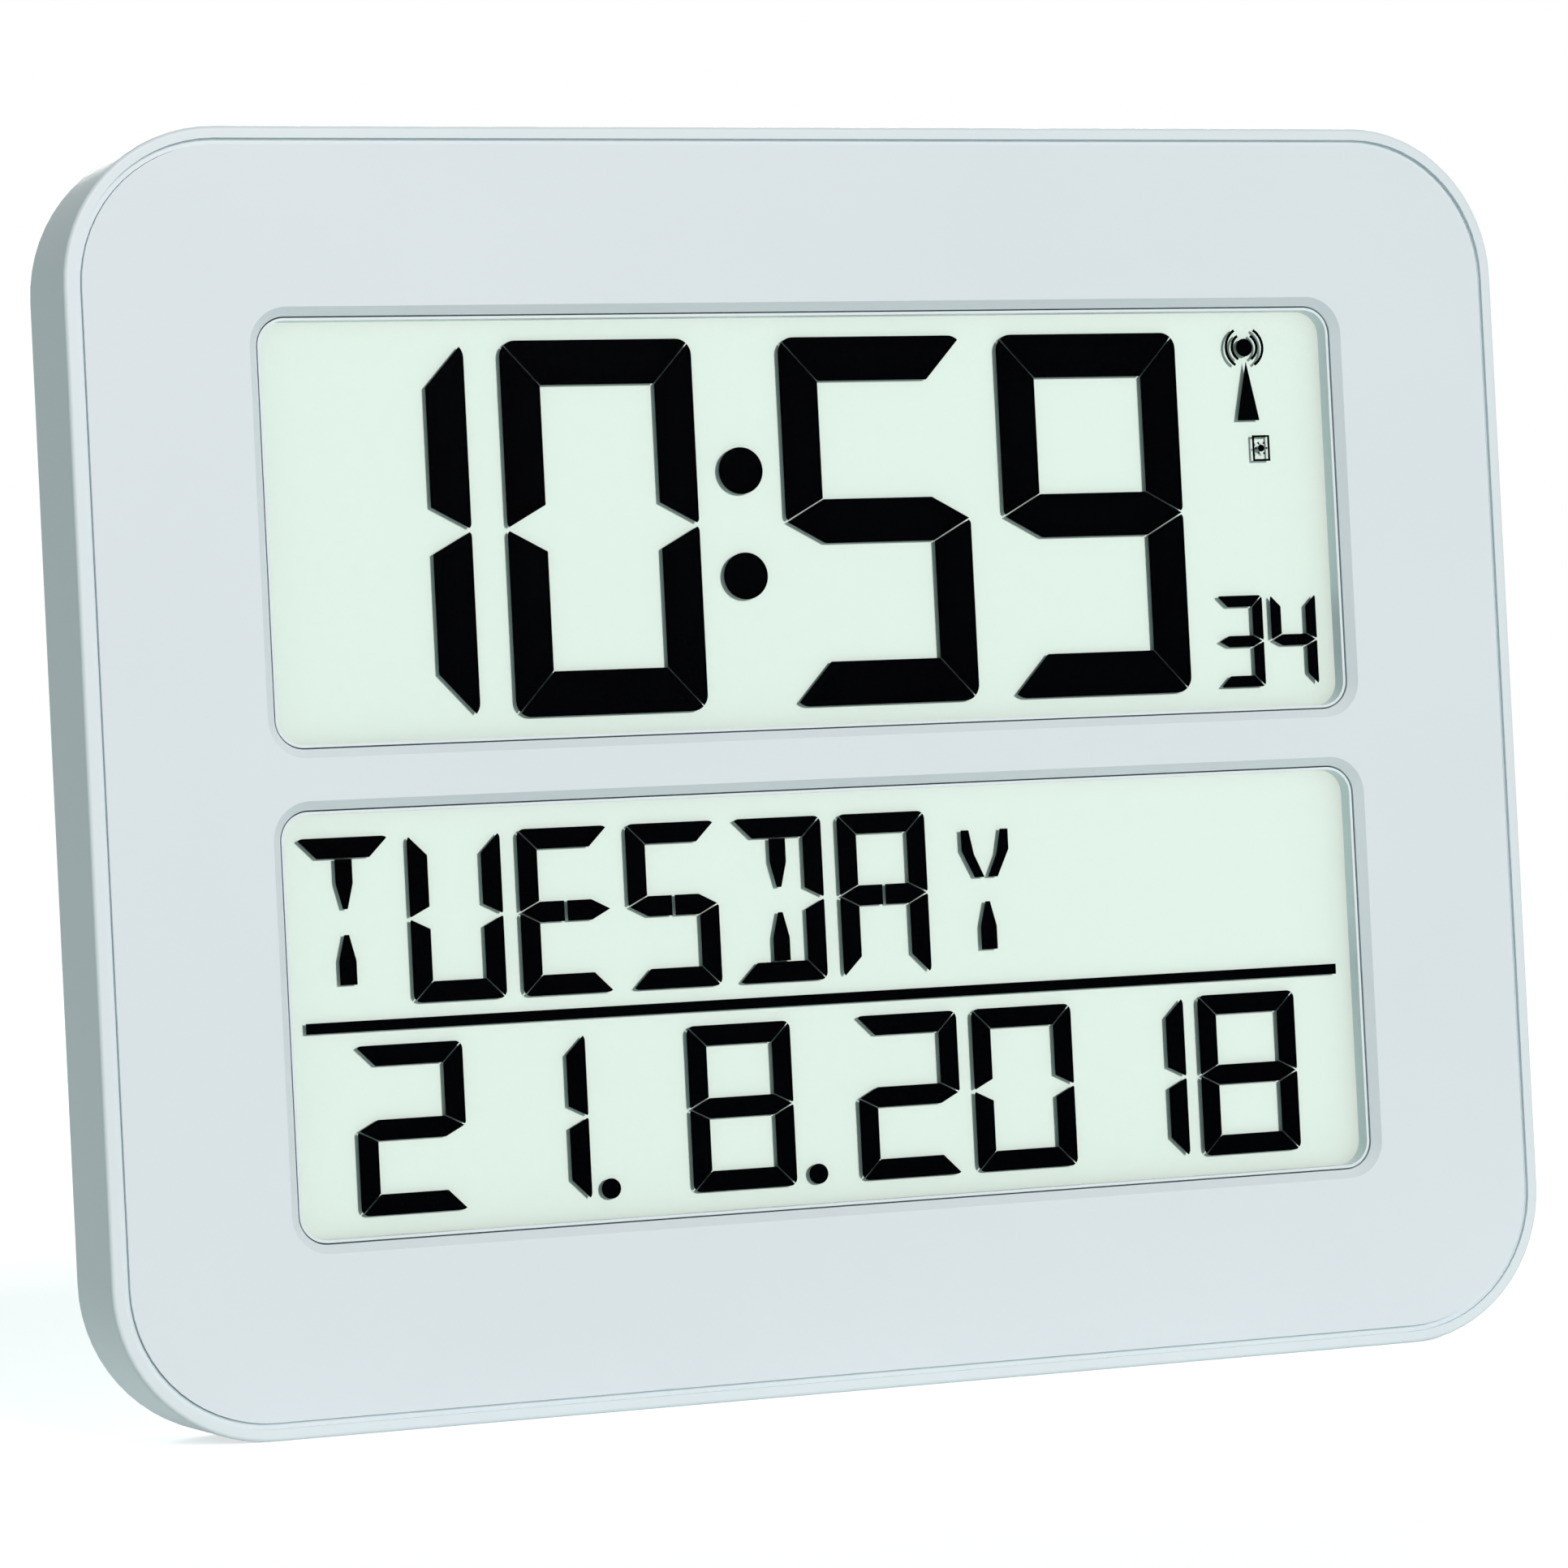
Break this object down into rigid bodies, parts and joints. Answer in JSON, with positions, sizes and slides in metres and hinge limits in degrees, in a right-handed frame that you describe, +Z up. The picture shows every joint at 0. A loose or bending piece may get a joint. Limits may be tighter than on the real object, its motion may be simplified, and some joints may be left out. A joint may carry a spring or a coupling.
{
  "type": "dementia day clock",
  "caption": "Flat rectangular day clock with two wide liquid-crystal displays for time, weekday and date, fold-out rear stand, hanging holes and rear buttons.",
  "frame": {"origin": "middle of the clock's bounding box, on the surface it stands on", "axes": "+Z up the clock, +X to the right as seen from the front, +Y to the back; the face looks along -Y"},
  "size_m": [0.258, 0.027, 0.212],
  "materials": {
    "case": "fine satin moulding",
    "face": "fine satin moulding",
    "back": "fine spark texture",
    "button": "satin",
    "inner_plastic": "plain moulding",
    "lcd_glass": "clear, with a matt polariser",
    "segment": "black",
    "reflector": "pale green diffuse film",
    "board": "solder mask",
    "chip": "black resin",
    "steel": "zinc plated",
    "spring_steel": "nickel plated",
    "rubber_strip": "layered contact rubber",
    "ferrite": "sintered",
    "copper": "enamelled copper wire",
    "cell_jacket": "plain printed jacket",
    "lead_jacket": "soft insulation",
    "ribbon": "flat lead"
  },
  "bodies": {
    "clock": {"front_case": "case", "face_plate": "face", "rear_cover": "back", "case_screws": "steel", "display_frame": "inner_plastic", "frame_screws": "steel", "time_front_glass": "lcd_glass", "time_segments": "segment", "time_rear_glass": "lcd_glass", "time_reflector": "reflector", "date_front_glass": "lcd_glass", "date_segments": "segment", "date_rear_glass": "lcd_glass", "date_reflector": "reflector", "time_contact_strip": "rubber_strip", "date_contact_strip": "rubber_strip", "main_board": "board", "board_screws": "steel", "controller_drop": "chip", "quartz_crystal": "spring_steel", "capacitor": "chip", "radio_board": "board", "radio_chip": "chip", "antenna_rod": "ferrite", "antenna_coil": "copper", "antenna_cradle": "inner_plastic", "antenna_leads": "copper", "radio_ribbon": "ribbon", "battery_leads": "lead_jacket", "key_board": "board", "key_switches": "chip", "key_board_screws": "steel", "key_ribbon": "ribbon", "upper_battery": "cell_jacket", "lower_battery": "cell_jacket", "contact_springs": "spring_steel", "contact_plates": "spring_steel"},
    "stand": {"stand": "back"},
    "battery_lid": {"battery_lid": "back"},
    "set_button": {"set_button": "button"},
    "up_button": {"up_button": "button"},
    "down_button": {"down_button": "button"},
    "wave_button": {"wave_button": "button"}
  },
  "joints": [
    {"name": "stand_hinge", "type": "hinge", "parent": "clock", "child": "stand", "pos_m": [0, 0.0107, 0.108], "axis": [1, 0, 0], "range_deg": [0, 40]},
    {"name": "battery_lid_lift", "type": "slide", "parent": "clock", "child": "battery_lid", "axis": [0, 1, 0], "range_m": [0, 0.03]},
    {"name": "set_button_press", "type": "slide", "parent": "clock", "child": "set_button", "axis": [0, -1, 0], "range_m": [0, 0.0006], "stiffness_N_per_m": 600},
    {"name": "up_button_press", "type": "slide", "parent": "clock", "child": "up_button", "axis": [0, -1, 0], "range_m": [0, 0.0006], "stiffness_N_per_m": 600},
    {"name": "down_button_press", "type": "slide", "parent": "clock", "child": "down_button", "axis": [0, -1, 0], "range_m": [0, 0.0006], "stiffness_N_per_m": 600},
    {"name": "wave_button_press", "type": "slide", "parent": "clock", "child": "wave_button", "axis": [0, -1, 0], "range_m": [0, 0.0006], "stiffness_N_per_m": 600}
  ]
}
